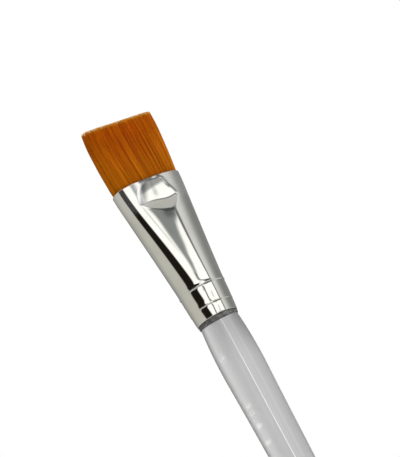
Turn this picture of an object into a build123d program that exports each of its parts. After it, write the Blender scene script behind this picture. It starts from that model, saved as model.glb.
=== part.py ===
from build123d import *
import math
import os

# Flat wash paint brush, standing upright on the butt of its handle.
# +Z runs up the axis to the tip of the filaments, +X runs along the width of
# the flat, and the front face looks toward -Y.  The origin is the lowest point
# of the rounded butt, on the axis.  Millimetres.
#
# Pieces: a turned clear handle with a grooved tenon, a seamless sheet metal
# ferrule that goes from round to flat, the adhesive between the two, the
# filament roots inside the ferrule, the resin plug that sets them, and the
# exposed filament tuft that bends over the ferrule's mouth.

# ---------------------------------------------------------------- dimensions
# Handle; heights above the origin
handle_len = 143.0            # butt to shoulder
butt_r = 2.55                 # rounded butt end
waist_z, waist_r = 60.0, 3.66           # slim part of the grip
grip_z, grip_r = 111.0, 4.92
belly_r = 5.37                # cylindrical land of the belly
land_z0 = 130.5
land_len = 3.5
land_z1 = land_z0 + land_len
brow_z, brow_r = 138.6, 5.21            # curve from the land to the shoulder
shoulder_r = 4.88
shaft_slope = 0.012           # radius gained per mm of height at the butt
brow_slope = -0.085           # and at the shoulder
tenon_r = 4.30
tenon_len = 14.0              # above the shoulder
tenon_top = handle_len + tenon_len
tenon_chamfer = 0.6
glue_groove_w = 1.2
glue_groove_depth = 0.35

# Handle adhesive
bead_h = 1.1                  # adhesive showing between shoulder and ferrule
bead_r = 5.12
bead_taper = 0.08             # radius lost at the bottom of the bead
bead_taper_h = 0.3
end_glue = 0.6                # adhesive over the end of the tenon

# Ferrule; heights below are above its bottom edge unless named _z
ferrule_z = handle_len + bead_h
ferrule_len = 37.8
mouth_z = ferrule_z + ferrule_len
wall = 0.40                   # ferrule sheet
foot_r = 5.25                 # outside radius at the bottom edge
crimp_half_w = 0.34
crimp_depth = 0.17
round_end = 9.2               # above this height the round turns into the flat
round_end_r = 5.93

# rolled crimps: height, outside radius of the sheet beside the crimp
crimps = [(3.1, 5.46), (8.0, 5.80)]

# stations of the flattened cone: height, half width, half thickness
stations = [
    (18.5, 6.93, 5.70),
    (28.0, 8.09, 5.14),
    (ferrule_len, 9.15, 4.58),
]

# Panel pressed into both faces of the flat
panel_top = 36.9
panel_ledge = 32.2
panel_foot = 28.8
# height, half width, distance of the pressed face from the middle
panel_rows = [
    (panel_top, 3.1, 4.46),
    (panel_ledge, 5.2, 4.03),
    (panel_foot, 2.9, 5.06),
]
press_y = 9.0                 # outer side of the pressing wedge
press_half_w = 8.0            # wedge before it is cut to the panel's outline
press_half_depth = 12.0       # half length of the outline's extrusion along Y

# Resin plug and filament roots; heights above the ferrule's edge
plug_bottom = 17.0
plug_top = 22.5
# root bundle in the plug: height, half width, half thickness
root_sections = [
    (18.6, 6.10, 4.85),       # butts of the filaments
    (plug_top, 6.60, 4.65),   # where they leave the plug
]

# Filament tuft
flex_z = mouth_z + 1.65       # axis the tuft bends about
tuft_len = 17.6               # out of the mouth
tuft_clear = 0.10
mouth_half_w, mouth_half_t = 8.67, 4.08      # tuft section at the bending axis
# tuft sections: z, half width, half thickness
tuft_sections = [
    (flex_z, mouth_half_w, mouth_half_t),
    (mouth_z + tuft_len * 0.55, 9.62, 2.90),
    (mouth_z + tuft_len, 9.85, 1.80),        # chisel edge
]

# Cutting blocks, larger than the pieces they trim
block_w = 40.0
block_h = 60.0
press_block_h = 20.0
press_block_drop = 5.0        # starts this far below the panel's foot


# -------------------------------------------------------------------- handle
def tenon_outline():
    """Shoulder, tenon with a glue groove level with each crimp, end chamfer."""
    points = [(shoulder_r, handle_len), (tenon_r, handle_len)]
    groove_r = tenon_r - glue_groove_depth
    for height, _ in crimps:
        groove_z0 = ferrule_z + height - glue_groove_w / 2
        groove_z1 = ferrule_z + height + glue_groove_w / 2
        points += [
            (tenon_r, groove_z0),
            (groove_r, groove_z0),
            (groove_r, groove_z1),
            (tenon_r, groove_z1),
        ]
    return points + [
        (tenon_r, tenon_top - tenon_chamfer),
        (tenon_r - tenon_chamfer, tenon_top),
        (0, tenon_top),
    ]


# One turned profile from the butt to the end of the tenon.
butt_angle = math.radians(45)
with BuildPart() as handle:
    with BuildSketch(Plane.XZ):
        with BuildLine():
            ThreePointArc(
                (0, 0),
                (butt_r * math.sin(butt_angle), butt_r * (1 - math.cos(butt_angle))),
                (butt_r, butt_r),
            )
            Spline(
                (butt_r, butt_r),
                (waist_r, waist_z),
                (grip_r, grip_z),
                (belly_r, land_z0),
                tangents=[(shaft_slope, 1), (0, 1)],
            )
            Line((belly_r, land_z0), (belly_r, land_z1))
            Spline(
                (belly_r, land_z1),
                (brow_r, brow_z),
                (shoulder_r, handle_len),
                tangents=[(0, 1), (brow_slope, 1)],
            )
            Polyline(*tenon_outline())
            Line((0, tenon_top), (0, 0))
        make_face()
    revolve(axis=Axis.Z)


# ------------------------------------------------------------------- ferrule
def foot_outline(inset):
    """Round foot from the edge to where the flat begins, as (r, z) points."""
    points = [(foot_r - inset, ferrule_z)]
    for height, radius in crimps:
        crimp_z = ferrule_z + height
        points += [
            (radius - inset, crimp_z - crimp_half_w),
            (radius - inset - crimp_depth, crimp_z),
            (radius - inset, crimp_z + crimp_half_w),
        ]
    return points + [(round_end_r - inset, ferrule_z + round_end)]


def sheet_form(inset):
    """Solid inside the ferrule's surface drawn in by inset, without the panels."""
    with BuildPart() as form:
        with BuildSketch(Plane.XZ):
            with BuildLine():
                Polyline(
                    (0, ferrule_z),
                    *foot_outline(inset),
                    (0, ferrule_z + round_end),
                    (0, ferrule_z),
                )
            make_face()
        revolve(axis=Axis.Z)
        with BuildSketch(Plane.XY.offset(ferrule_z + round_end)):
            Circle(round_end_r - inset)
        for height, half_width, half_thickness in stations:
            with BuildSketch(Plane.XY.offset(ferrule_z + height)):
                Ellipse(half_width - inset, half_thickness - inset)
        loft()
    return form.part


# Front and back wedges that press the panels: deepest at the ledge.
panel_left = [(-half_width, ferrule_z + height) for height, half_width, _ in panel_rows]
panel_right = [(-x, z) for x, z in reversed(panel_left)]
with BuildPart() as panel_press:
    with BuildSketch(Plane.YZ):
        with BuildLine():
            Polyline(
                (-press_y, ferrule_z + panel_top),
                *[(-face_y, ferrule_z + height) for height, _, face_y in panel_rows],
                (-press_y, ferrule_z + panel_foot),
                (-press_y, ferrule_z + panel_top),
            )
        make_face()
    extrude(amount=press_half_w, both=True)
    with BuildSketch(Plane.XZ):
        with BuildLine():
            Polyline(*panel_left, *panel_right, panel_left[0])
        make_face()
    extrude(amount=press_half_depth, both=True, mode=Mode.INTERSECT)
    mirror(about=Plane.XZ)

# The press reaches the inside face one wall deeper: the front wedge is moved
# in and kept alone, then mirrored to the back.
with BuildPart() as panel_press_inside:
    add(panel_press.part.moved(Location((0, wall, 0))))
    with BuildSketch(Plane.XY.offset(ferrule_z + panel_foot - press_block_drop)):
        with Locations((0, -block_w / 4)):
            Rectangle(block_w, block_w / 2)
    extrude(amount=press_block_h, mode=Mode.INTERSECT)
    mirror(about=Plane.XZ)

outer_form = sheet_form(0.0)
inner_form = sheet_form(wall)

with BuildPart() as sheet_outside:
    add(outer_form)
    add(panel_press.part, mode=Mode.SUBTRACT)

with BuildPart() as cavity:
    add(inner_form)
    add(panel_press_inside.part, mode=Mode.SUBTRACT)

with BuildPart() as ferrule:
    add(sheet_outside.part)
    add(cavity.part, mode=Mode.SUBTRACT)


def cavity_slice(bottom_z=None, top_z=None):
    """The ferrule's cavity, cut off below bottom_z and above top_z."""
    with BuildPart() as piece:
        add(cavity.part)
        for cut_z, amount in [(bottom_z, -block_h), (top_z, block_h)]:
            if cut_z is not None:
                with BuildSketch(Plane.XY.offset(cut_z)):
                    Rectangle(block_w, block_w)
                extrude(amount=amount, mode=Mode.SUBTRACT)
    return piece.part


# ----------------------------------------------------------- handle adhesive
# Film round the tenon, a cap over its end, and the bead that shows as a dark
# ring between the shoulder and the ferrule's edge.
adhesive_fill = cavity_slice(top_z=tenon_top + end_glue)
with BuildPart() as handle_adhesive:
    add(adhesive_fill)
    with BuildSketch(Plane.XZ):
        with BuildLine():
            Polyline(
                (0, handle_len),
                (bead_r - bead_taper, handle_len),
                (bead_r, handle_len + bead_taper_h),
                (bead_r, ferrule_z),
                (0, ferrule_z),
                (0, handle_len),
            )
        make_face()
    revolve(axis=Axis.Z)
    add(handle.part, mode=Mode.SUBTRACT)

# ------------------------------------------------------------- setting resin
# Plug of resin across the ferrule, with the butts of the filaments in it.
with BuildPart() as root_core:
    for height, half_width, half_thickness in root_sections:
        with BuildSketch(Plane.XY.offset(ferrule_z + height)):
            Ellipse(half_width, half_thickness)
    loft()

plug_fill = cavity_slice(bottom_z=ferrule_z + plug_bottom, top_z=ferrule_z + plug_top)
with BuildPart() as setting_resin:
    add(plug_fill)
    add(root_core.part, mode=Mode.SUBTRACT)


# ------------------------------------------------------------- filament tuft
# The exposed filaments.  Below the bending axis the tuft ends in the body of
# revolution that its mouth section sweeps about that axis, so it turns in the
# mouth without rubbing.
def knuckle(clearance):
    """Lower half of the body swept by the mouth section, grown by clearance."""
    half_width = mouth_half_w + clearance
    half_thickness = mouth_half_t + clearance
    with BuildPart() as body:
        with BuildSketch(Plane.XY.offset(flex_z)):
            Ellipse(half_width, half_thickness)
            # keep the front half of the section
            with Locations((0, half_thickness)):
                Rectangle(4 * half_width, 2 * half_thickness, mode=Mode.SUBTRACT)
        revolve(axis=Axis((0, 0, flex_z), (1, 0, 0)), revolution_arc=180)
    return body.part


tuft_knuckle = knuckle(0.0)
knuckle_seat = knuckle(tuft_clear)

with BuildPart() as filament_tuft:
    for section_z, half_width, half_thickness in tuft_sections:
        with BuildSketch(Plane.XY.offset(section_z)):
            Ellipse(half_width, half_thickness)
    loft()
    add(tuft_knuckle)

# ------------------------------------------------------------ filament roots
# The same filaments inside the ferrule, from their butts in the plug up to
# the mouth, hollowed at the top to seat the tuft.
roots_fill = cavity_slice(bottom_z=ferrule_z + plug_top)
with BuildPart() as filament_roots:
    add(roots_fill)
    add(root_core.part)
    add(knuckle_seat, mode=Mode.SUBTRACT)

# -------------------------------------------------------------------- export
pieces = {
    "handle": handle.part,
    "handle_adhesive": handle_adhesive.part,
    "ferrule": ferrule.part,
    "setting_resin": setting_resin.part,
    "filament_roots": filament_roots.part,
    "filament_tuft": filament_tuft.part,
}
os.makedirs("parts", exist_ok=True)
for name, piece in pieces.items():
    piece.label = name
    export_step(piece, f"parts/{name}.step")
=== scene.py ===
# Flat wash brush: clear moulded handle, plated ferrule, golden filaments.
# +Z runs up the brush from the handle's butt at 0 to the filament tips; the wide
# front face looks to -Y.  Shapes are worked out in mm and stored in metres.
import bisect
import math
import random

import bmesh
import bpy
import numpy as np
from mathutils import Matrix, Vector


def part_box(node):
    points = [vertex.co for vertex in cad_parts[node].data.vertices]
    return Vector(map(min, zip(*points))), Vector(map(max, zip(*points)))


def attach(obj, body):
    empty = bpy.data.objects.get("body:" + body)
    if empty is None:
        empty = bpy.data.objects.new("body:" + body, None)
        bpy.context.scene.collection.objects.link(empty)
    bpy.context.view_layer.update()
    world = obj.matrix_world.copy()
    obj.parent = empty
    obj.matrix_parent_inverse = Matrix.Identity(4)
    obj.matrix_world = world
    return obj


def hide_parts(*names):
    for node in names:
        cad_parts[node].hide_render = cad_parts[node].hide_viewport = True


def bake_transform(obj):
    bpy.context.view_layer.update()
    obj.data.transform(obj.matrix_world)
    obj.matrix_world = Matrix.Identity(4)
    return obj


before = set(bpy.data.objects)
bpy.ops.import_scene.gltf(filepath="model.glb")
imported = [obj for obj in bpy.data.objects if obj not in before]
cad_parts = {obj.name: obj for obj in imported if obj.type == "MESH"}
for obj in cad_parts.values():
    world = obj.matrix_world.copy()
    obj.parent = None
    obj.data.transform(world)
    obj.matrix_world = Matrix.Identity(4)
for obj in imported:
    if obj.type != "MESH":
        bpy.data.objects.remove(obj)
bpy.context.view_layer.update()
MM = 0.001

# ------------------------------------------------- places from the CAD, in mm
ferrule_low, ferrule_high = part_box("ferrule")
FOOT = ferrule_low[2] / MM                    # ferrule's lower edge
MOUTH = ferrule_high[2] / MM                  # ferrule's upper edge
TENON_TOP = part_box("handle")[1][2] / MM
TUFT_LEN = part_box("filament_tuft")[1][2] / MM - MOUTH
FERRULE_LEN = MOUTH - FOOT
SHOULDER = FOOT - 1.1                         # handle's shoulder, under the dark bead


# ------------------------------------------------------------- shape functions
def clamp(value, low=0.0, high=1.0):
    return max(low, min(high, value))


def smooth(low, high, value):
    """Smooth step from 0 at low to 1 at high."""
    part = clamp((value - low) / (high - low))
    return part * part * (3 - 2 * part)


def bell(value, centre, width):
    return math.exp(-((value - centre) / width) ** 2)


def plateau(value, rise, fall):
    """1 between two smooth flanks, each given as a (low, high) pair."""
    return smooth(*rise, value) * (1 - smooth(*fall, value))


def soft_min(first, second, blend):
    part = clamp(0.5 + 0.5 * (second - first) / blend)
    return second + (first - second) * part - blend * part * (1 - part)


def soft_max(first, second, blend):
    return -soft_min(-first, -second, blend)


class MonotoneCurve:
    """Monotone cubic through (position, value) stations, straight beyond them."""

    def __init__(self, stations):
        self.x = [p[0] for p in stations]
        self.y = [p[1] for p in stations]
        steps = [(self.y[i + 1] - self.y[i]) / (self.x[i + 1] - self.x[i])
                 for i in range(len(stations) - 1)]
        self.slopes = [steps[0]]
        for before, after in zip(steps, steps[1:]):
            turns = before * after <= 0
            self.slopes.append(0.0 if turns else 2 * before * after / (before + after))
        self.slopes.append(steps[-1])

    def __call__(self, value):
        x, y, slopes = self.x, self.y, self.slopes
        if value <= x[0]:
            return y[0] + slopes[0] * (value - x[0])
        if value >= x[-1]:
            return y[-1] + slopes[-1] * (value - x[-1])
        i = bisect.bisect_right(x, value) - 1
        gap = x[i + 1] - x[i]
        part = (value - x[i]) / gap
        return (
            (2 * part**3 - 3 * part**2 + 1) * y[i]
            + (part**3 - 2 * part**2 + part) * gap * slopes[i]
            + (-2 * part**3 + 3 * part**2) * y[i + 1]
            + (part**3 - part**2) * gap * slopes[i + 1]
        )


class NaturalSpline:
    """Natural cubic spline, for outlines whose curvature has to stay even."""

    def __init__(self, stations):
        x = np.array([p[0] for p in stations], float)
        y = np.array([p[1] for p in stations], float)
        count, gaps = len(x), np.diff(x)
        system, target = np.zeros((count, count)), np.zeros(count)
        system[0, 0] = system[-1, -1] = 1.0
        for i in range(1, count - 1):
            system[i, i - 1 : i + 2] = gaps[i - 1], 2 * (gaps[i - 1] + gaps[i]), gaps[i]
            target[i] = 6 * ((y[i + 1] - y[i]) / gaps[i] - (y[i] - y[i - 1]) / gaps[i - 1])
        self.x, self.y, self.gaps = x.tolist(), y.tolist(), gaps.tolist()
        self.bends = np.linalg.solve(system, target).tolist()

    def __call__(self, value):
        x, y, bends = self.x, self.y, self.bends
        i = min(len(self.gaps) - 1, max(0, bisect.bisect_right(x, value) - 1))
        gap, value = self.gaps[i], min(max(value, x[0]), x[-1])
        low, high = (x[i + 1] - value) / gap, (value - x[i]) / gap
        bend = (low**3 - low) * bends[i] + (high**3 - high) * bends[i + 1]
        return low * y[i] + high * y[i + 1] + bend * gap * gap / 6


# ---------------------------------------------------------------- mesh helpers
def new_object(name, verts, faces):
    """Smooth-shaded mesh object from vertices in mm."""
    mesh = bpy.data.meshes.new(name)
    mesh.from_pydata([(x * MM, y * MM, z * MM) for x, y, z in verts], [], faces)
    mesh.validate()
    mesh.polygons.foreach_set("use_smooth", [True] * len(mesh.polygons))
    mesh.update()
    return link_object(name, mesh)


def link_object(name, data):
    obj = bpy.data.objects.new(name, data)
    bpy.context.scene.collection.objects.link(obj)
    return obj


def float_attribute(obj, name, values):
    obj.data.attributes.new(name, "FLOAT", "POINT").data.foreach_set("value", values)


def ring_faces(rows, around, first=0, closed=False):
    """Quads between successive rings of vertices; closed joins last to first."""
    faces = []
    for k in range(rows if closed else rows - 1):
        low, high = first + k * around, first + (k + 1) % rows * around
        for i in range(around):
            j = (i + 1) % around
            faces.append((low + i, low + j, high + j, high + i))
    return faces


# --------------------------------------------------------------------- ferrule
# Heights here count in mm from the ferrule's lower edge.
# (height, half the width across X)
half_width = NaturalSpline([
    (0, 5.28), (3.1, 5.55), (8.0, 5.90), (12.5, 6.33), (17.0, 6.80),
    (22.0, 7.38), (27.0, 8.00), (32.0, 8.63), (36.0, 9.07), (FERRULE_LEN, 9.19),
])
# (height, half the thickness across Y)
half_thickness = NaturalSpline([
    (0, 5.25), (3.1, 5.48), (7.0, 5.76), (10.5, 5.91), (14.5, 5.87),
    (20.0, 5.63), (26.0, 5.27), (31.5, 4.91), (35.0, 4.82), (FERRULE_LEN, 4.81),
])
# (height, superellipse exponent; 2 is an ellipse)
squareness = NaturalSpline([
    (0, 2.0), (9.0, 2.0), (20.0, 2.2), (30.0, 2.4), (FERRULE_LEN, 2.5),
])
WALL = 0.38
LIP = 0.13                     # height of the rounding at both edges
CRIMP_LOW, CRIMP_HIGH = 3.1, 8.0
# height, bead's rise, bead's width, rise of the run-up
CRIMPS = ((CRIMP_LOW, 0.035, 0.11, 0.06), (CRIMP_HIGH, 0.040, 0.12, 0.105))
# lower end, upper end, swell of the sheet between them
BARRELS = ((0.0, CRIMP_LOW, 0.030), (CRIMP_LOW, CRIMP_HIGH, 0.060))

# Pressed panel on each wide face: its top, the ledge at its foot, and the
# height from which the mesh is fine.
PRESS_TOP, PRESS_LEDGE, PRESS_FOOT = FERRULE_LEN - 0.75, FERRULE_LEN - 5.6, FERRULE_LEN - 9.0
PRESS_TILT = 0.048             # the die strikes the face a little askew
PRESS_DEPTH = 4.14             # panel's distance from the middle plane at the ledge
# (level in the panel, x of the shoulder on its right)
shoulder_at = MonotoneCurve([
    (-0.2, 4.30), (0.0, 4.20), (0.28, 3.79), (0.54, 3.19), (0.83, 2.80), (1.0, 2.3),
])
# (level in the panel, steepness of that shoulder)
shoulder_up = MonotoneCurve([
    (-0.2, 0.10), (0.0, 0.13), (0.28, 0.22), (0.54, 0.23), (0.83, 0.08), (1.0, 0.0),
])


def across_face(x, y):
    """x counted rightwards by someone facing this side of the ferrule."""
    return x if y < 0 else -x


def press_level(height):
    """0 at the panel's ledge, 1 at its top."""
    return (height - PRESS_LEDGE) / (PRESS_TOP - PRESS_LEDGE)


def ledge_bow(x):
    """The ledge hangs a little lower towards the middle."""
    return 0.70 * bell(x, 1.6, 2.8)


def press_face(x, height):
    """How far from the middle plane the die leaves the wide face."""
    level = press_level(height)
    facet = (PRESS_DEPTH + 0.02 * level + 0.57 * level * level + 0.0030 * x * x
             + PRESS_TILT * (1 - clamp(level)) * x)
    # rounded shoulder where the panel runs out on the right
    held = clamp(level, -0.2, 1.0)
    facet += shoulder_up(held) * max(0.0, x - shoulder_at(held) + 1.0) ** 2
    steepness = 0.36 - 0.012 * clamp(x, -5, 5)
    slope = (PRESS_DEPTH + (PRESS_LEDGE + 0.05 - ledge_bow(x) - height) * steepness
             + 0.002 * x * x + PRESS_TILT * x)
    over = 4.66 + (height - PRESS_TOP) * 2.0
    return soft_max(soft_max(facet, slope, 0.07), over, 0.12)


def crimp(height):
    """Two rolled beads, each with a gentle run-up above it, and the sheet
    below and between them very slightly barrelled."""
    rise = 0.0
    for at, bead, width, run in CRIMPS:
        rise += bead * bell(height, at, width)
        rise += run * bell(height, at, 0.60 if height > at else 0.24)
    for low, high, swell in BARRELS:
        if low <= height <= high:
            rise += swell * math.sin(math.pi * (height - low) / (high - low))
    return rise


def ferrule_point(angle, height, inset):
    """Point of the sheet at an angle (0 on +X) and height, drawn in by inset."""
    rise = crimp(height) * (1.0 if inset == 0 else 0.9)
    width = half_width(height) + rise - inset
    thickness = half_thickness(height) + rise - inset
    power = 2.0 / squareness(height)
    cos, sin = math.cos(angle), math.sin(angle)
    x = width * math.copysign(abs(cos) ** power, cos)
    y = thickness * math.copysign(abs(sin) ** power, sin)
    if height > PRESS_FOOT - 4.0 and abs(y) > 2.0:
        pressed = press_face(across_face(x, y), height) - inset
        blend = 0.13 + 0.15 * (1 - smooth(PRESS_LEDGE - 1.0, PRESS_LEDGE + 0.2, height))
        y = math.copysign(min(abs(y), soft_min(abs(y), pressed, blend)), y)
    return (x, y)


def stations(low, high, breaks, coarse, fine, reach):
    """Heights from low to high, fine near the breaks and coarse between them."""
    out, height = [low], low
    while height < high - 1e-6:
        near = min(abs(height - b) for b in breaks)
        away = clamp((near - reach) / (3 * reach))
        height = min(high, height + fine + (coarse - fine) * away)
        out.append(height)
    return out


def paint_dark_reflections(x, y, height):
    """Painted dark reflections in and around the pressed panel, with painted shade along its ledge,
    0 to 1.
    """
    level = press_level(height)
    if abs(y) < 2.5 or level < -0.3 or level > 1.4:
        return 0.0
    x = across_face(x, y)
    held = clamp(level)
    left, right = -5.5 + 2.35 * held, shoulder_at(held) - 0.05
    inside = plateau(level, (-0.12, 0.04), (1.0, 1.1))
    side = plateau(x, (left - 0.9, left + 0.15), (left + 0.3, left + 2.3)) * inside
    top = plateau(x, (left - 0.5, left + 0.5), (right - 0.4, right + 0.2)) * inside
    top *= smooth(0.45, 0.8, level)
    streak = bell(x, -0.8, 0.6) * smooth(0.02, 0.35, level) * inside
    streak *= 1 - 0.4 * smooth(0.4, 0.7, level)
    edge = bell(x, right, 0.33) * inside
    over = plateau(level, (0.96, 1.06), (1.24, 1.34)) * plateau(x, (-4.2, -3.5), (-0.4, 0.8))
    corner = plateau(level, (0.93, 1.0), (1.12, 1.22)) * plateau(x, (-0.4, 0.4), (1.9, 2.7))
    # painted shade along the ledge
    above_ledge = height - PRESS_LEDGE - 0.03 + ledge_bow(x)
    under = bell(above_ledge, 0.0, 0.17) * plateau(x, (-4.6, -1.0), (3.8, 4.8))
    return clamp(max(0.80 * side, 0.14 * top, 0.46 * streak, 0.96 * edge,
                     1.0 * over, 0.42 * corner, 0.66 * under))


def veil_and_highlight_at(x, y, height, outside):
    """Pale veil: a band near the mouth, and a painted highlight in a strip left of the panel."""
    painted_highlight = 0.0
    if outside and abs(y) > 2:
        painted_highlight = bell(across_face(x, y), -4.75, 0.7)
        painted_highlight *= smooth(FERRULE_LEN - 7.0, FERRULE_LEN - 4.5, height)
    return smooth(29.8, 32.0, height) + 8.0 * painted_highlight


def build_ferrule():
    around = 440
    top = FERRULE_LEN - LIP
    breaks = (0.0, CRIMP_LOW, CRIMP_HIGH, PRESS_LEDGE, PRESS_TOP, FERRULE_LEN)
    outside_low = stations(LIP, PRESS_FOOT, breaks, coarse=0.55, fine=0.09, reach=0.35)
    outside_high = stations(PRESS_FOOT, top, breaks, coarse=0.13, fine=0.085, reach=0.35)
    inside = stations(LIP, top, breaks, coarse=1.2, fine=0.3, reach=0.3)
    rounding = [math.pi * k / 8 for k in range(1, 8)]
    # rows of (inset, height): up the outside, over the lip at the mouth, down
    # the inside and round the lower edge
    rows = [(0.0, h) for h in outside_low[:-1] + outside_high]
    rows += [(WALL / 2 * (1 - math.cos(a)), top + LIP * math.sin(a)) for a in rounding]
    rows += [(WALL, h) for h in reversed(inside)]
    rows += [(WALL / 2 * (1 + math.cos(a)), LIP - LIP * math.sin(a)) for a in rounding]
    verts, painted_dark_reflection, pale_veil_and_highlight = [], [], []
    for inset, height in rows:
        outside = inset < 0.2
        for i in range(around):
            x, y = ferrule_point(2 * math.pi * (i + 0.5) / around, height, inset)
            verts.append((x, y, FOOT + height))
            painted_dark_reflection.append(paint_dark_reflections(x, y, height) if outside else 0.0)
            pale_veil_and_highlight.append(veil_and_highlight_at(x, y, height, outside))
    obj = new_object("ferrule_shell", verts, ring_faces(len(rows), around, closed=True))
    float_attribute(obj, "painted_dark_reflection", painted_dark_reflection)
    float_attribute(obj, "pale_veil_and_highlight", pale_veil_and_highlight)
    return obj


ferrule_obj = build_ferrule()
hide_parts("ferrule")
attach(ferrule_obj, "brush_body")


# ---------------------------------------------------------------------- handle
BUTT_RADIUS = 2.60             # of the rounded end
BUTT_END, BUTT_END_RADIUS = 6.0, 2.68
# (z, radius)
belly = NaturalSpline([
    (BUTT_END, BUTT_END_RADIUS), (30.0, 3.02), (60.0, 3.66), (88.0, 4.38),
    (104.0, 4.78), (118.0, 5.06), (125.0, 5.23), (130.5, 5.37), (134.0, 5.37),
    (138.6, 5.21), (SHOULDER, 4.88),
])
TENON_RADIUS, GROOVE_RADIUS, TENON_TIP_RADIUS = 4.30, 3.95, 3.70
SEAM_ANGLES = (math.radians(-110.5), math.radians(69.5))   # mould parting lines
SEAM_HEIGHT, SEAM_WIDTH = 0.055, 0.10


def handle_radius(z):
    if z < BUTT_RADIUS:
        return math.sqrt(max(0.0, BUTT_RADIUS * BUTT_RADIUS - (BUTT_RADIUS - z) ** 2))
    if z < BUTT_END:
        return BUTT_RADIUS + (BUTT_END_RADIUS - BUTT_RADIUS) * smooth(BUTT_RADIUS, BUTT_END, z)
    return belly(z)


def seam_rise(angle, z):
    """Height of the flash along the parting lines."""
    rise = 0.0
    for seam in SEAM_ANGLES:
        away = (angle - seam + math.pi) % (2 * math.pi) - math.pi
        away = away * max(handle_radius(z), 1.0) / SEAM_WIDTH
        if abs(away) < 5:
            rise += math.exp(-away * away)
    return SEAM_HEIGHT * rise * smooth(1.5, 5.0, z)


def handle_angles():
    """Even steps, dense at the parting lines so the flash is real geometry."""
    even = 144
    angles = {round(2 * math.pi * i / even - math.pi, 6) for i in range(even)}
    for seam in SEAM_ANGLES:
        for k in range(-10, 11):
            angles.add(round((seam + k * 0.0065 + math.pi) % (2 * math.pi) - math.pi, 6))
    angles = sorted(angles)
    kept = [angles[0]]
    for angle in angles[1:]:
        if angle - kept[-1] > 0.003:
            kept.append(angle)
    return kept


def handle_rows():
    """Rows of (radius, z, share of the seam flash)."""
    heights = [BUTT_RADIUS * (1 - math.cos(math.pi / 2 * k / 12)) for k in range(1, 12)]
    z = BUTT_RADIUS
    while z < SHOULDER - 1.5:
        heights.append(z)
        z += 1.5
    edge = SHOULDER + 0.26        # the rounded shoulder reaches into the dark ring
    heights += [edge - 1.2, edge - 0.7, edge - 0.35, edge - 0.16]
    rows = [(handle_radius(z), z, 1.0) for z in heights]
    # softened shoulder edge, then the tenon up inside the ferrule
    radius = handle_radius(edge)
    rows += [(radius - 0.015, edge - 0.07, 0.6), (radius - 0.06, edge - 0.01, 0.2),
             (radius - 0.14, edge, 0.0), (TENON_RADIUS, edge, 0.0)]
    # a groove behind each crimp
    for middle in (FOOT + CRIMP_LOW, FOOT + CRIMP_HIGH):
        rows += [(TENON_RADIUS, middle - 0.6, 0), (GROOVE_RADIUS, middle - 0.55, 0),
                 (GROOVE_RADIUS, middle + 0.55, 0), (TENON_RADIUS, middle + 0.6, 0)]
    rows += [(TENON_RADIUS, TENON_TOP - 0.6, 0), (TENON_TIP_RADIUS, TENON_TOP, 0)]
    return rows


def build_handle():
    angles, rows = handle_angles(), handle_rows()
    around = len(angles)
    verts, flash = [(0, 0, 0)], [0.0]
    for radius, z, share in rows:
        for angle in angles:
            rise = seam_rise(angle, z)
            reach = radius + rise * share
            verts.append((reach * math.cos(angle), reach * math.sin(angle), z))
            flash.append(rise / SEAM_HEIGHT * share)
    verts.append((0, 0, TENON_TOP))
    flash.append(0.0)
    top, ring = len(verts) - 1, 1 + (len(rows) - 1) * around
    faces = [(0, 1 + (i + 1) % around, 1 + i) for i in range(around)]
    faces += ring_faces(len(rows), around, first=1)
    faces += [(ring + i, ring + (i + 1) % around, top) for i in range(around)]
    obj = new_object("handle_body", verts, faces)
    float_attribute(obj, "flash", flash)
    return obj


handle_obj = build_handle()
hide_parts("handle")
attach(handle_obj, "brush_body")


# --------------------------------------------------------------- dark ring, painted shade under the ferrule
BEAD_TOP = 1.09
# (radius, height over the handle's shoulder), a closed section
BEAD_PROFILE = [
    (4.36, 0.02), (4.80, 0.02), (4.99, 0.06), (5.07, 0.16), (5.11, 0.34),
    (5.13, 0.56), (5.13, 0.80), (5.10, 0.98), (5.05, 1.07), (4.80, BEAD_TOP),
    (4.80, 2.4), (4.36, 2.4),
]
BEAD_WAVES = (3, 5, 8, 13, 21, 34)   # ripples round the ring


def build_dark_ring():
    """A dark ring that shows under the ferrule's edge: painted shade standing for the
    shadow and the ferrule's dark inside seen through the shoulder; slightly
    uneven, with the film behind it."""
    around = 256
    bead_rng = random.Random(11)
    phases = [bead_rng.uniform(0, 6.28) for _ in range(8)]
    verts = []
    for k, (radius, height) in enumerate(BEAD_PROFILE):
        ripple = 0.028 if 2 <= k <= 7 else 0.0
        for i in range(around):
            angle = 2 * math.pi * i / around
            wave = sum(math.sin(angle * f + p) / f for f, p in zip(BEAD_WAVES, phases))
            # the lower edge hangs down at the front and left
            front = max(0.0, math.cos(angle - math.radians(-119.0))) ** 1.5
            low = 0.26 - 0.54 * front
            up = low + (BEAD_TOP - low) * height / BEAD_TOP if height < BEAD_TOP else height
            reach = radius + ripple * wave
            verts.append((reach * math.cos(angle), reach * math.sin(angle), SHOULDER + up))
    return new_object("dark_shade_ring", verts, ring_faces(len(BEAD_PROFILE), around, closed=True))


dark_ring_obj = build_dark_ring()
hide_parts("handle_adhesive")
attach(dark_ring_obj, "brush_body")


# ------------------------------------------------------------------- filaments
# Heights count in mm from the ferrule's mouth.  A strand keeps its place in the
# bundle's section (share of the radius, angle) from root to tip, while the
# section widens across X and thins across Y towards the chisel edge.
ROOT = -4.0      # where the bundle's core starts
CORE_TOP = TUFT_LEN - 0.75
# (height, value) for half the width, half the thickness, superellipse exponent
tuft_half_width = MonotoneCurve([
    (ROOT, 8.35), (0.0, 8.72), (1.2, 8.95), (4.0, 9.25), (9.0, 9.62), (14.0, 9.86),
    (TUFT_LEN, 9.72),
])
tuft_half_thickness = MonotoneCurve([
    (ROOT, 3.95), (0.0, 4.14), (4.0, 3.70), (10.0, 2.80), (TUFT_LEN, 1.75),
])
tuft_squareness = MonotoneCurve([(ROOT, 2.5), (0.0, 2.5), (8.0, 2.8), (TUFT_LEN, 3.4)])
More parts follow.
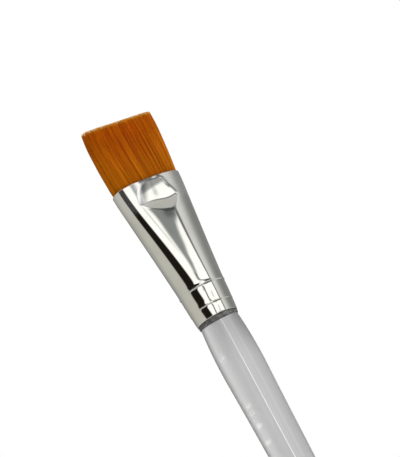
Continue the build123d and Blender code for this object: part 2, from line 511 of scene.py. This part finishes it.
# (height, shift of the section's middle)
lean_x = MonotoneCurve([(ROOT, 0.0), (0.0, 0.0), (6.0, 0.14), (TUFT_LEN, 0.55)])
lean_y = MonotoneCurve([(ROOT, 0.0), (0.0, 0.0), (6.0, -0.08), (TUFT_LEN, -0.42)])
# heights of a strand's rings; the lowest stays above the pressed panel
STRAND_HEIGHTS = (
    -0.7, 0.0, 1.1, 2.2, 3.3, 4.5, 5.8, 7.1, 8.4, 9.8, 11.2, 12.6, 14.0, 15.4,
)
# (share of the section's radius, number of strands)
OUTER_LAYERS = ((0.995, 420), (0.972, 400), (0.945, 380))
INNER_LAYERS = (
    (0.90, 330), (0.82, 290), (0.72, 260), (0.61, 220),
    (0.49, 180), (0.36, 140), (0.22, 90), (0.08, 36),
)


def section_point(share, angle, height):
    width, thickness = tuft_half_width(height) * share, tuft_half_thickness(height) * share
    power = tuft_squareness(height)
    cos, sin = math.cos(angle), math.sin(angle)
    across = abs(cos) ** 0.8
    x = width * math.copysign(across, cos)
    y = thickness * math.copysign(max(0.0, 1.0 - across**power) ** (1.0 / power), sin)
    return x + lean_x(height), y + lean_y(height)


def tip_height(x):
    """Cut height of the chisel edge: slightly hollow, lower at both ends."""
    hollow = 0.20 * (1 - ((x - 1.5) / 10.0) ** 2)
    return TUFT_LEN - 0.10 - hollow - 0.14 * smooth(8.9, 10.2, -x) - 0.05 * smooth(9.2, 10.2, x)


def lengths_round(steps):
    """Running distance round the bundle's section, from +X, at each step."""
    points = [section_point(1.0, 2 * math.pi * i / steps, TUFT_LEN * 0.6)
              for i in range(steps + 1)]
    lengths = [0.0]
    for here, after in zip(points, points[1:]):
        lengths.append(lengths[-1] + math.hypot(after[0] - here[0], after[1] - here[1]))
    return lengths


ARC_STEPS = 720
arc_lengths = lengths_round(ARC_STEPS)


def arc_of(angle):
    """Distance round the bundle in mm, so that streaks follow the strands."""
    step = (angle % (2 * math.pi)) / (2 * math.pi) * ARC_STEPS
    i = min(ARC_STEPS - 1, int(step))
    return arc_lengths[i] + (arc_lengths[i + 1] - arc_lengths[i]) * (step - i)


def perimeter_angles(count, rng):
    """Angles at nearly even distances round the section."""
    steps, jitter = 2000, 0.35
    lengths = lengths_round(steps)
    out = []
    for k in range(count):
        wanted = (k + rng.uniform(-jitter, jitter)) / count * lengths[-1]
        wanted %= lengths[-1]
        i = min(steps - 1, bisect.bisect_right(lengths, wanted) - 1)
        part = (wanted - lengths[i]) / max(1e-9, lengths[i + 1] - lengths[i])
        out.append(2 * math.pi * (i + part) / steps)
    return out


def strand_seeds(layers, inward, outward, rng):
    """(share of the radius, angle) of each strand, scattered about its layer."""
    return [(share + rng.uniform(-inward, outward), angle)
            for share, count in layers for angle in perimeter_angles(count, rng)]


def build_strands(name, seeds, sides, radius, rng):
    """Tapered strands as closed tubes."""
    verts, faces, tones, alongs, arcs = [], [], [], [], []
    for share, angle in seeds:
        tone = rng.random()
        arc = arc_of(angle) + rng.gauss(0, 0.05)
        tip_x, _ = section_point(share, angle, TUFT_LEN)
        # a few strands are cut up to 0.09 short
        cut = (tip_height(tip_x) + rng.gauss(0, 0.024)
               - 0.09 * max(0.0, rng.random() - 0.93) / 0.07)
        heights = [h for h in STRAND_HEIGHTS if h < cut - 0.8] + [cut - 0.5, cut]
        root_radius = radius * rng.uniform(0.85, 1.15)
        drift_x, drift_y = rng.gauss(0, 0.05), rng.gauss(0, 0.03)
        phase_x, phase_y = rng.uniform(0, 6.28), rng.uniform(0, 6.28)
        rate_x, rate_y = rng.uniform(0.12, 0.3), rng.uniform(0.12, 0.3)
        stray = 2.6 if rng.random() < 0.02 else 1.0
        turn = rng.uniform(0, 6.28)
        first, rows = len(verts), len(heights)
        for k, height in enumerate(heights):
            sway = stray * smooth(0.0, TUFT_LEN, height)
            x, y = section_point(share, angle, height)
            x += sway * (drift_x * 1.6 + 0.05 * math.sin(rate_x * height + phase_x))
            y += sway * (drift_y * 1.2 + 0.03 * math.sin(rate_y * height + phase_y))
            ring = root_radius * (1.0 - 0.58 * smooth(5.0, TUFT_LEN + 1.0, height))
            if k == rows - 1:
                ring *= 0.55
            for i in range(sides):
                way = turn + 2 * math.pi * i / sides
                verts.append((x + ring * math.cos(way), y + ring * math.sin(way), MOUTH + height))
            alongs += [clamp(height / cut)] * sides
        tones += [tone] * (rows * sides)
        arcs += [arc] * (rows * sides)
        faces += ring_faces(rows, sides, first)
        faces.append(tuple(first + i for i in range(sides))[::-1])
        faces.append(tuple(first + (rows - 1) * sides + i for i in range(sides)))
    obj = new_object(name, verts, faces)
    filament_attributes(obj, tones, arcs, alongs)
    return obj


def filament_attributes(obj, tones, arcs, alongs):
    float_attribute(obj, "strand", tones)    # each strand's own tone
    float_attribute(obj, "arc", arcs)        # distance round the bundle, mm
    float_attribute(obj, "along", alongs)    # 0 at the mouth, 1 at the tip


def build_core():
    """Dense middle of the bundle just under the outer strands."""
    around, rows = 180, 26
    core_rng = random.Random(5)
    ridges = [core_rng.uniform(-1, 1) for _ in range(around)]
    below_tip = 0.55
    verts = []
    for k in range(rows):
        height = ROOT + (CORE_TOP - ROOT) * k / (rows - 1)
        for i in range(around):
            share = 0.93 - 0.012 * ridges[i] - 0.02 * k / rows
            x, y = section_point(share, 2 * math.pi * i / around, height)
            z = tip_height(x) - below_tip if k == rows - 1 else height
            verts.append((x, y, MOUTH + z))
    verts.append((*section_point(0.0, 0.0, ROOT), MOUTH + ROOT))
    verts.append((*section_point(0.0, 0.0, CORE_TOP), MOUTH + (tip_height(0) - below_tip)))
    bottom, top, ring = rows * around, rows * around + 1, (rows - 1) * around
    faces = ring_faces(rows, around)
    faces += [((i + 1) % around, i, bottom) for i in range(around)]
    faces += [(ring + i, ring + (i + 1) % around, top) for i in range(around)]
    obj = new_object("filament_core", verts, faces)
    places = [v.co for v in obj.data.vertices]
    filament_attributes(
        obj, [0.4] * len(places), [arc_of(math.atan2(p.y, p.x)) for p in places],
        [clamp((p.z / MM - MOUTH) / TUFT_LEN) for p in places])
    return obj


tuft_rng = random.Random(20)
outer_seeds = strand_seeds(OUTER_LAYERS, inward=0.012, outward=0.006, rng=tuft_rng)
inner_seeds = strand_seeds(INNER_LAYERS, inward=0.045, outward=0.045, rng=tuft_rng)
outer_obj = build_strands("filaments_outer", outer_seeds, sides=5, radius=0.075, rng=tuft_rng)
inner_obj = build_strands("filaments_inner", inner_seeds, sides=4, radius=0.085, rng=tuft_rng)
core_obj = build_core()


# ---------------------------------------------------------------- node helpers
def srgb(*levels):
    """Linear colour from one grey or three sRGB levels, 0 to 255."""

    def linear(level):
        level /= 255.0
        return level / 12.92 if level <= 0.04045 else ((level + 0.055) / 1.055) ** 2.4

    colour = tuple(linear(v) for v in levels)
    return colour * 3 if len(colour) == 1 else colour


class Shader:
    """A cleared node tree and short ways to fill it.  Every value may be a
    number, a colour triple or the output socket of another node."""

    def __init__(self, tree, output_kind):
        self.tree = tree
        tree.nodes.clear()
        self.output = tree.nodes.new(output_kind)

    def node(self, kind, inputs=None, **properties):
        new = self.tree.nodes.new(kind)
        for name, value in properties.items():
            setattr(new, name, value)
        for key, value in (inputs or {}).items():
            socket = new.inputs[key]
            if isinstance(value, bpy.types.NodeSocket):
                self.tree.links.new(value, socket)
            else:
                socket.default_value = (*value, 1.0) if socket.type == "RGBA" else value
        return new

    def surface(self, shader):
        self.tree.links.new(shader, self.output.inputs["Surface"])

    def principled(self, inputs):
        return self.node("ShaderNodeBsdfPrincipled", inputs).outputs[0]

    def mix_shaders(self, factor, first, second):
        return self.node("ShaderNodeMixShader", {0: factor, 1: first, 2: second}).outputs[0]

    def attribute(self, name):
        return self.node("ShaderNodeAttribute", attribute_name=name).outputs["Fac"]

    def coords(self, kind="Object"):
        return self.node("ShaderNodeTexCoord").outputs[kind]

    def separate(self, vector):
        outputs = self.node("ShaderNodeSeparateXYZ", {0: vector}).outputs
        return outputs[0], outputs[1], outputs[2]

    def noise(self, vector, scale, detail, roughness=0.5):
        inputs = {"Vector": vector, "Scale": scale, "Detail": detail, "Roughness": roughness}
        return self.node("ShaderNodeTexNoise", inputs).outputs["Fac"]

    def bump(self, height, strength, distance):
        inputs = {"Height": height, "Strength": strength, "Distance": distance}
        return self.node("ShaderNodeBump", inputs).outputs[0]

    def math(self, operation, *values, clamped=False):
        inputs = dict(enumerate(values))
        return self.node("ShaderNodeMath", inputs, operation=operation, use_clamp=clamped).outputs[0]

    def times(self, first, second, clamped=False):
        return self.math("MULTIPLY", first, second, clamped=clamped)

    def affine(self, value, factor, offset, clamped=False):
        return self.math("MULTIPLY_ADD", value, factor, offset, clamped=clamped)

    def bell(self, value, centre, width):
        away = self.times(self.math("SUBTRACT", value, centre), 1 / width)
        return self.math("EXPONENT", self.times(self.times(away, away), -1.0))

    def smoothstep(self, value, low, high):
        return self.node("ShaderNodeMapRange", {0: value, 1: low, 2: high},
                         interpolation_type="SMOOTHSTEP").outputs[0]

    def step_up(self, value, edge, soft):
        """0 below the edge and 1 above it, where the edge may itself vary."""
        return self.smoothstep(self.math("SUBTRACT", value, edge), -soft, soft)

    def hump(self, value, low, high, soft):
        """1 between low and high, fading over soft outside."""
        return self.math("SUBTRACT", self.smoothstep(value, low - soft, low),
                         self.smoothstep(value, high, high + soft), clamped=True)

    def ramp(self, factor, stops, mode="LINEAR"):
        """Colour ramp from (position, grey or colour) stops."""
        new = self.node("ShaderNodeValToRGB", {0: factor})
        new.color_ramp.interpolation = mode
        elements = new.color_ramp.elements
        while len(elements) > 1:
            elements.remove(elements[-1])
        elements[0].position = stops[0][0]
        for i, (position, colour) in enumerate(stops):
            element = elements.new(position) if i else elements[0]
            element.color = (*(colour if isinstance(colour, tuple) else (colour,) * 3), 1.0)
        return new.outputs[0]

    def table(self, value, span, limits, points):
        """Piecewise linear function through (value, result) points; span
        bounds the values and limits the results."""
        (low, high), (least, most) = span, limits
        part = self.node("ShaderNodeMapRange", {0: value, 1: low, 2: high}).outputs[0]
        stops = [((p - low) / (high - low), (v - least) / (most - least)) for p, v in points]
        return self.affine(self.ramp(part, stops), most - least, least)

    def mix(self, factor, first, second, mode="MIX"):
        return self.node("ShaderNodeMix", data_type="RGBA", blend_type=mode,
                         inputs={0: factor, 6: first, 7: second}).outputs[2]


def new_material(name):
    material = bpy.data.materials.new(name)
    material.use_nodes = True
    return material, Shader(material.node_tree, "ShaderNodeOutputMaterial")


# ------------------------------------------------------------------- materials
def filament_material():
    material, s = new_material("golden_filament")
    strand, along, arc = (s.attribute(name) for name in ("strand", "along", "arc"))

    def streaks(across, down, detail):
        inputs = {0: s.times(arc, across), 1: s.times(along, down)}
        vector = s.node("ShaderNodeCombineXYZ", inputs).outputs[0]
        return s.noise(vector, scale=1.0, detail=detail, roughness=0.55)

    clump = streaks(across=3.9, down=1.3, detail=2.0)
    broad = streaks(across=0.6, down=0.7, detail=1.0)
    tone = 0.5
    for source, amount in ((clump, 0.75), (strand, 0.50), (broad, 0.22)):
        tone = s.affine(s.math("SUBTRACT", source, 0.5), amount, tone)
    colour = s.ramp(tone, [
        (0.20, srgb(118, 50, 0)), (0.38, srgb(146, 70, 0)), (0.52, srgb(164, 84, 1)),
        (0.66, srgb(182, 98, 3)), (0.85, srgb(206, 122, 12)),
    ])
    # greener towards the mouth, redder towards the tip
    green = s.ramp(along, [(0.0, 0.8), (0.22, 0.55), (0.42, 0.15), (0.6, 0.0), (1.0, 0.0)])
    colour = s.mix(s.times(green, 0.34), colour, srgb(138, 82, 1))
    red = s.ramp(along, [
        (0.0, 0.0), (0.25, 0.10), (0.45, 0.35), (0.60, 0.55), (0.80, 0.8), (0.90, 0.7),
        (0.97, 0.3), (1.0, 0.0),
    ])
    colour = s.mix(s.times(red, 0.6), colour, srgb(166, 62, 0))
    # painted sheen on paler flanks and painted shade in a darker middle, both strongest at the mouth
    x, _, _ = s.separate(s.coords())
    across = s.affine(x, 1 / (22 * MM), 0.5)     # 0 to 1 over 22 mm
    body = s.ramp(along, [(0.0, 1.0), (0.6, 0.8), (0.85, 0.35), (1.0, 0.2)])
    painted_sheen = s.ramp(across, [
        (0.0, 0.55), (0.14, 0.35), (0.30, 0.0), (0.66, 0.0), (0.86, 0.55), (1.0, 0.9),
    ])
    colour = s.mix(s.times(painted_sheen, body), colour, srgb(184, 108, 8))
    # painted shade: the middle multiplied darker
    middle = s.ramp(across, [
        (0.0, 0.96), (0.20, 0.98), (0.42, 0.90), (0.66, 0.90), (0.88, 1.04), (1.0, 1.06),
    ])
    middle = s.mix(body, (1.0, 1.0, 1.0), middle)
    colour = s.mix(1.0, colour, middle, "MULTIPLY")
    # brighter near the tip, pale at the cut and dark at the root
    near_tip = s.ramp(along, [(0.0, 1.0), (0.72, 1.0), (0.86, 1.10), (1.0, 1.14)])
    colour = s.mix(1.0, colour, near_tip, "MULTIPLY")
    tip = s.ramp(along, [(0.0, 0.0), (0.94, 0.0), (0.97, 0.45), (1.0, 0.85)])
    colour = s.mix(tip, colour, srgb(200, 144, 36))
    root = s.ramp(along, [(0.0, 0.35), (0.02, 0.2), (0.06, 0.0), (1.0, 0.0)])
    colour = s.mix(root, colour, srgb(96, 42, 0))
    s.surface(s.principled({
        "Base Color": colour, "Roughness": s.affine(clump, 0.2, 0.45), "IOR": 1.5,
        "Specular IOR Level": 0.04,
    }))
    return material


def plated_material():
    material, s = new_material("plated_sheet")
    coords = s.coords()
    # grain drawn out along the brush
    drawn = s.node("ShaderNodeMapping", {"Vector": coords, "Scale": (1.0, 1.0, 0.12)}).outputs[0]
    grain = s.noise(drawn, scale=2600.0, detail=3.0, roughness=0.6)
    cloud = s.noise(coords, scale=160.0, detail=3.0, roughness=0.55)
    tint = s.ramp(cloud, [(0.3, srgb(227, 226, 219)), (0.7, srgb(235, 235, 229))])
    # painted dark reflections: the chrome tint turns grey in and around the pressed panel
    tint = s.mix(s.attribute("painted_dark_reflection"), tint, srgb(84, 87, 87))
    roughness = s.affine(cloud, 0.03, s.affine(grain, 0.015, 0.030))
    metal = s.principled({
        "Base Color": tint, "Metallic": 1.0, "Roughness": roughness,
        "Normal": s.bump(grain, strength=0.02, distance=0.00002),
    })
    veil = s.node("ShaderNodeBsdfDiffuse", {"Color": srgb(225)}).outputs[0]
    # pale diffuse veil, which also carries the painted highlight left of the panel
    s.surface(s.mix_shaders(s.times(s.attribute("pale_veil_and_highlight"), 0.055), metal, veil))
    return material


# Painted refraction and reflection: what the clear rod gathers from its surroundings, in bands along
# it:
# (place across from 0 left to 1 right, sRGB grey before the gain)
HANDLE_PAINTED_REFRACTION = (
    (0.0, 172), (0.03, 192), (0.08, 225), (0.125, 235), (0.21, 219), (0.30, 206),
    (0.40, 201), (0.50, 190), (0.58, 193), (0.65, 194), (0.71, 189), (0.755, 198),
    (0.79, 187), (0.86, 182), (0.95, 178), (1.0, 168),
)
HANDLE_GAIN = 1.08
# Worn patches: (z, half height), in metres
WORN_ROWS = (
    (0.1342, 0.0009), (0.1213, 0.0006), (0.1195, 0.0005), (0.1162, 0.0006), (0.1118, 0.0008),
)


def place_across(s):
    """How far the surface turns aside from the eye, 0 left to 1 right."""
    geometry = s.node("ShaderNodeNewGeometry").outputs

    def vector_math(operation, *values):
        inputs = dict(enumerate(values))
        return s.node("ShaderNodeVectorMath", inputs, operation=operation).outputs

    side = vector_math("CROSS_PRODUCT", (0, 0, 1), geometry["Incoming"])[0]
    unit = vector_math("NORMALIZE", side)[0]
    turned = vector_math("DOT_PRODUCT", geometry["Normal"], unit)["Value"]
    return s.affine(turned, 0.5, 0.5)


def worn_patches(s, coords):
    """Mask of the frosted patches on the left of the front."""
    x, y, z = s.separate(coords)
    strip = s.bell(s.math("ARCTAN2", y, x), math.radians(-161.0), 0.17)
    rows = None
    for middle, height in WORN_ROWS:
        row = s.bell(z, middle, height)
        rows = row if rows is None else s.math("ADD", rows, row)
    speckle = s.noise(coords, scale=900.0, detail=2.0, roughness=0.5)
    speckle = s.ramp(speckle, [(0.38, 0.1), (0.6, 0.9)])
    return s.times(s.times(strip, rows), speckle, clamped=True), z


def acrylic_material():
    material, s = new_material("clear_acrylic")
    coords = s.coords()
    worn, z = worn_patches(s, coords)
    cloud = s.noise(coords, scale=70.0, detail=4.0, roughness=0.6)
    fine = s.noise(coords, scale=1300.0, detail=3.0, roughness=0.7)
    across = place_across(s)
    # painted refraction and reflection, by how far the surface turns from the eye
    colour = s.ramp(across, [(place, srgb(grey * HANDLE_GAIN)) for place, grey in HANDLE_PAINTED_REFRACTION])
    # painted shade just under the ferrule, most on the right, standing for the dark ferrule's
    # reflection and the tenon showing through
    shade = s.ramp(across, [
        (0.0, 0.15), (0.12, 0.05), (0.35, 0.22), (0.45, 0.34), (0.58, 0.12), (0.72, 0.25),
        (0.85, 0.62), (1.0, 0.8),
    ])
    under_ferrule = s.smoothstep(z, 0.130, 0.1425)
    colour = s.mix(s.times(under_ferrule, shade), colour, srgb(132))
    colour = s.mix(1.0, colour, s.ramp(cloud, [(0.3, 0.955), (0.7, 1.0)]), "MULTIPLY")
    colour = s.mix(s.times(worn, 0.55), colour, srgb(250))
    # raised flash with a painted highlight: near white, broken along its run and dimmer near the
    # ferrule
    flash = s.attribute("flash")
    broken = s.noise(coords, scale=260.0, detail=2.0, roughness=0.6)
    white = s.times(flash, s.ramp(broken, [(0.35, 0.45), (0.6, 0.9)]))
    dimming = s.affine(s.smoothstep(z, 0.1265, 0.1360), -0.62, 1.0)
    colour = s.mix(s.times(white, dimming, clamped=True), colour, srgb(248))
    solid = s.math("MAXIMUM", flash, worn)
    s.surface(s.principled({
        "Base Color": colour, "IOR": 1.49,
        "Transmission Weight": s.affine(solid, -0.35, 0.35, clamped=True),
        "Roughness": s.affine(worn, 0.3, s.affine(fine, 0.10, 0.16)),
        "Coat Weight": 0.3, "Coat Roughness": 0.12,
    }))
    return material


def painted_shade_material():
    material, s = new_material("dark_adhesive")
    # painted shade: mottled dark grey for the shadow and the ferrule's dark inside seen through the
    # shoulder
    mottle = s.noise(s.coords(), scale=1100.0, detail=3.0, roughness=0.6)
    colour = s.ramp(mottle, [
        (0.35, srgb(50, 50, 48)), (0.5, srgb(76, 76, 74)), (0.68, srgb(112, 112, 110)),
    ])
    s.surface(s.principled({
        "Base Color": colour, "IOR": 1.5, "Roughness": s.affine(mottle, 0.3, 0.3),
        "Normal": s.bump(mottle, strength=0.3, distance=0.00005),
    }))
    return material


def resin_material():
    material, s = new_material("amber_resin")
    cloud = s.noise(s.coords(), scale=400.0, detail=3.0, roughness=0.6)
    colour = s.ramp(cloud, [(0.35, srgb(120, 78, 30)), (0.65, srgb(156, 106, 48))])
    s.surface(s.principled({"Base Color": colour, "Roughness": 0.3, "IOR": 1.5}))
    return material


def floor_material():
    """Pale floor that fades to nothing away from the middle."""
    material, s = new_material("floor_pale")
    coords = s.coords()
    colour = s.ramp(s.noise(coords, scale=40.0, detail=3.0), [(0.3, 0.86), (0.7, 0.88)])
    pale = s.principled({"Base Color": colour, "Roughness": 0.9})
    away = s.node("ShaderNodeVectorMath", {0: coords}, operation="LENGTH").outputs["Value"]
    fade = s.ramp(s.times(away, 1 / FLOOR_HALF), [
        (0.0, 1.0), (0.12, 1.0), (0.9, 0.0), (1.0, 0.0),
    ], "EASE")
    clear = s.node("ShaderNodeBsdfTransparent").outputs[0]
    s.surface(s.mix_shaders(fade, clear, pale))
    return material


def set_material(obj, material):
    obj.data.materials.clear()
    obj.data.materials.append(material)


gold = filament_material()
for tuft_part in (outer_obj, inner_obj, core_obj):
    set_material(tuft_part, gold)
    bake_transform(tuft_part)
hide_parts("filament_roots", "filament_tuft")
set_material(ferrule_obj, plated_material())
set_material(handle_obj, acrylic_material())
set_material(dark_ring_obj, painted_shade_material())
for resin_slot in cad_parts["setting_resin"].material_slots:
    resin_slot.material = resin_material()

# ----------------------------------------------------------------------- stage
FLOOR_HALF = 3.0               # half the floor's side, metres


def build_floor():
    mesh = bpy.data.meshes.new("floor")
    grid = bmesh.new()
    bmesh.ops.create_grid(grid, x_segments=8, y_segments=8, size=FLOOR_HALF)
    grid.to_mesh(mesh)
    grid.free()
    obj = link_object("floor", mesh)
    mesh.materials.append(floor_material())
    obj.visible_glossy = False
    return obj


build_floor()

# ---------------------------------------------------------------------- camera
CAMERA_DROP = math.radians(15.0)     # below the level of its aim
CAMERA_SWING = math.radians(29.0)    # from the front towards -X
CAMERA_ROLL = math.radians(28.55)
CAMERA_DISTANCE, VIEW_WIDTH = 500.0, 96.4     # mm
AIM_HEIGHT, AIM_RIGHT = FOOT + 21.7, 6.59     # mm
SENSOR_WIDTH = 36.0

toward_camera = Vector((
    -math.sin(CAMERA_SWING) * math.cos(CAMERA_DROP),
    -math.cos(CAMERA_SWING) * math.cos(CAMERA_DROP),
    -math.sin(CAMERA_DROP),
))
level_right = Vector((math.cos(CAMERA_SWING), -math.sin(CAMERA_SWING), 0.0))


def build_camera():
    unrolled_up = toward_camera.cross(level_right).normalized()
    cos, sin = math.cos(CAMERA_ROLL), math.sin(CAMERA_ROLL)
    right = level_right * cos - unrolled_up * sin
    up = unrolled_up * cos + level_right * sin
    aim = Vector((0, 0, AIM_HEIGHT)) + level_right * AIM_RIGHT
    data = bpy.data.cameras.new("camera")
    camera = link_object("camera", data)
    rotation = Matrix((right, up, toward_camera)).transposed().to_4x4()
    place = (aim + toward_camera * CAMERA_DISTANCE) * MM
    camera.matrix_world = Matrix.Translation(place) @ rotation
    data.sensor_fit = "HORIZONTAL"
    data.sensor_width = SENSOR_WIDTH
    data.lens = SENSOR_WIDTH * CAMERA_DISTANCE / VIEW_WIDTH
    data.clip_start = 0.01
    data.clip_end = 50.0
    bpy.context.scene.camera = camera


build_camera()

# ----------------------------------------------------------------------- world
# Soft studio: pale all round, with the dark and pale panels that a polished
# ferrule picks up.  Azimuth and elevation are in degrees, azimuth counted from
# the camera, rightwards.
PALE_PANEL = 1.28
DARK_PANEL = (0.0121, 0.0099, 0.00715)


def turn_at(degrees):
    """Azimuth as a share of the turn, 0.5 at the camera."""
    return 0.5 + degrees / 360.0


def warm(level):
    return (level, level * 0.99, level * 0.92)


def walls(s, turn, azimuth, elevation):
    """Left wall, pale panels and right wall, by azimuth."""
    # the pale panels' right edge shifts rightwards higher up
    lag = s.table(elevation, (10.0, 30.0), (0.0, 10.0), [
        (15, 0.0), (19, 1.2), (22.2, 3.4), (30, 3.4),
    ])
    colour = s.ramp(s.affine(lag, -1 / 360.0, turn), [(0.0, 0.22)] + [
        (turn_at(degrees), level) for degrees, level in (
            (-150, 0.28), (-128, warm(0.42)), (-105, warm(0.56)), (-70, warm(0.59)),
            (-40, warm(0.56)), (-39, PALE_PANEL), (58, PALE_PANEL), (60.5, 0.16), (63, 0.18),
            (66, 0.79), (78, 0.70), (88, 0.48), (98, 0.32), (114, 0.25), (150, 0.27),
            (165, 0.25),
        )
    ])
    # faint joint in the left pale panel
    crease = s.times(s.hump(azimuth, 9.0, 12.0, soft=4.0), s.hump(elevation, 15.6, 24.0, soft=1.2))
    return s.mix(s.times(crease, 0.8), colour, (0.84, 0.84, 0.82))


def add_wedge(s, colour, azimuth, elevation):
    """Dark wedge between the pale panels, widening upwards."""
    span = (0.0, 40.0)
    # (elevation, azimuth) of its left and right edges
    left = s.table(elevation, span, (0.0, 90.0), [
        (0, 2), (8, 6), (10, 9), (12, 13), (14, 16), (16, 18), (18, 22), (20, 25.5),
        (22, 29), (30, 34),
    ])
    right = s.table(elevation, span, (0.0, 90.0), [
        (0, 0), (8, 14), (10, 19), (12, 23.5), (14, 27), (15, 30), (17, 34), (18, 38),
        (19, 43), (20, 48), (21, 53), (22, 57.5), (22.6, 64), (23.2, 68), (40, 68),
    ])
    wedge = s.math("SUBTRACT", s.step_up(azimuth, left, soft=4.2),
                   s.step_up(azimuth, right, soft=3.4), clamped=True)
    # (elevation, grey)
    tone = s.table(elevation, span, (0.0, 1.0), [
        (0, 0.6), (10, 0.50), (12, 0.42), (14, 0.36), (16, 0.34), (18, 0.31), (20, 0.29),
        (22.2, 0.28), (23.6, 0.30), (25.0, 0.40), (27.0, 0.46), (31, 0.48), (36, 0.52),
        (40, 0.55),
    ])
    tone = s.mix(1.0, tone, (0.98, 1.03, 1.03), "MULTIPLY")
    # darker patch high on its right
    patch = s.times(s.hump(azimuth, 40.0, 63.0, soft=6.0), s.hump(elevation, 23.2, 28.0, soft=0.7))
    tone = s.mix(patch, tone, (0.08, 0.08, 0.08))
    return s.mix(s.times(wedge, s.hump(elevation, 8.5, 60.0, soft=2.0)), colour, tone)


def add_joints(s, colour, azimuth, elevation):
    """Thin leaning joints low down in both pale panels."""
    # lean, azimuth at elevation 0, lowest and highest elevation, strength
    for lean, base, low, high, strength in (
        (0.4, 10.5, -3.0, 10.0, 1.0),
        (0.4, 35.0, -3.0, 5.0, 0.45),
    ):
        line = s.affine(elevation, lean, base)
        away = s.math("ABSOLUTE", s.math("SUBTRACT", azimuth, line))
        joint = s.times(s.hump(away, -1.0, 1.8, soft=2.4), s.hump(elevation, low, high, soft=1.5))
        colour = s.mix(s.times(joint, strength), colour, (0.22, 0.22, 0.22))
    return colour


def add_dark_panel(s, colour, azimuth, elevation):
    """The dark panel on the left; its top reaches over to the right."""
    span, limits = (-40.0, 40.0), (-90.0, 90.0)
    # (elevation, azimuth) of its left and right edges
    left = s.table(elevation, span, limits, [(-40, -51), (1, -50), (7, -54), (12, -56), (40, -56)])
    right = s.table(elevation, span, limits, [
        (-40, -11), (1, -11), (7, -15), (12, -17), (14, -17), (17, -14), (20, -5), (22, 5),
        (26, 6), (30, 4), (40, -10),
    ])
    band = s.math("SUBTRACT", s.step_up(azimuth, left, soft=3.5),
                  s.step_up(azimuth, right, soft=3.5), clamped=True)
    band = s.times(band, s.hump(elevation, -6.0, 33.0, soft=4.0))
    return s.mix(band, colour, DARK_PANEL)


def add_top_and_ground(s, colour, azimuth, elevation):
    """Grey above it all, and grey ground in three parts."""
    colour = s.mix(s.hump(elevation, 35.0, 95.0, soft=4.0), colour, (0.55, 0.55, 0.53))
    below = s.hump(elevation, -95.0, -1.5, soft=4.0)
    ground = s.table(elevation, (-90.0, 10.0), (0.0, 1.0), [
        (-90, 0.30), (-34, 0.20), (-22, 0.07), (-16, 0.20), (-9, 0.36), (0, 0.44),
    ])
    colour = s.mix(s.times(below, s.hump(azimuth, 24.0, 66.0, soft=6.0)), colour, ground)
    # softness in elevation, azimuth range and its softness, colour
    for soft, left, right, side_soft, grey in (
        (3.0, -62.0, 22.0, 4.0, (0.50, 0.50, 0.48)),
        (3.0, 70.0, 130.0, 5.0, (0.64, 0.64, 0.62)),
    ):
        low = s.hump(elevation, -95.0, -8.0, soft=soft)
        colour = s.mix(s.times(low, s.hump(azimuth, left, right, soft=side_soft)), colour, grey)
    return colour


def build_world():
    world = bpy.data.worlds.new("studio")
    bpy.context.scene.world = world
    world.use_nodes = True
    s = Shader(world.node_tree, "ShaderNodeOutputWorld")
    x, y, z = s.separate(s.coords("Generated"))

    def along(direction):
        level = Vector((direction.x, direction.y, 0)).normalized()
        return s.math("ADD", s.times(x, level.x), s.times(y, level.y))

    turn = s.math("ARCTAN2", along(level_right), along(toward_camera))
    turn = s.affine(turn, 1 / (2 * math.pi), 0.5)
    azimuth = s.affine(turn, 360.0, -180.0)
    elevation = s.times(s.math("ARCSINE", z), 180 / math.pi)
    reflected = walls(s, turn, azimuth, elevation)
    for add_part in (add_wedge, add_joints, add_dark_panel, add_top_and_ground):
        reflected = add_part(s, reflected, azimuth, elevation)
    # plain light for everything that is not a mirror reflection
    soft = s.ramp(turn, [
        (0.0, 0.7), (turn_at(-130), 0.30), (turn_at(-60), 0.50), (turn_at(-25), 0.95),
        (turn_at(30), 1.0), (turn_at(60), 1.2), (turn_at(110), 1.2), (1.0, 0.7),
    ])

    def background(colour, strength):
        return s.node("ShaderNodeBackground", {"Color": colour, "Strength": strength}).outputs[0]

    ray = s.node("ShaderNodeLightPath").outputs
    seen = s.mix_shaders(ray["Is Glossy Ray"], background(soft, strength=0.9),
                         background(reflected, strength=1.0))
    white = background((1, 1, 1), strength=1.0)
    s.surface(s.mix_shaders(ray["Is Camera Ray"], seen, white))


build_world()


# ---------------------------------------------------------------------- lights
LIGHT_TARGET = Vector((0, 0, 0.15))


def area_light(name, place, size, power):
    """Square area light facing the brush, unseen by camera and reflections."""
    data = bpy.data.lights.new(name, "AREA")
    data.shape = "SQUARE"
    data.size = size
    data.energy = power
    obj = link_object(name, data)
    obj.location = place
    obj.rotation_euler = (LIGHT_TARGET - Vector(place)).to_track_quat("-Z", "Y").to_euler()
    obj.visible_glossy = False
    obj.visible_camera = False


area_light("key", place=(-0.35, -0.55, 0.75), size=0.45, power=3.0)
area_light("fill", place=(0.7, -0.35, 0.45), size=0.6, power=1.4)

view = bpy.context.scene.view_settings
view.view_transform = "Standard"
view.look = "None"
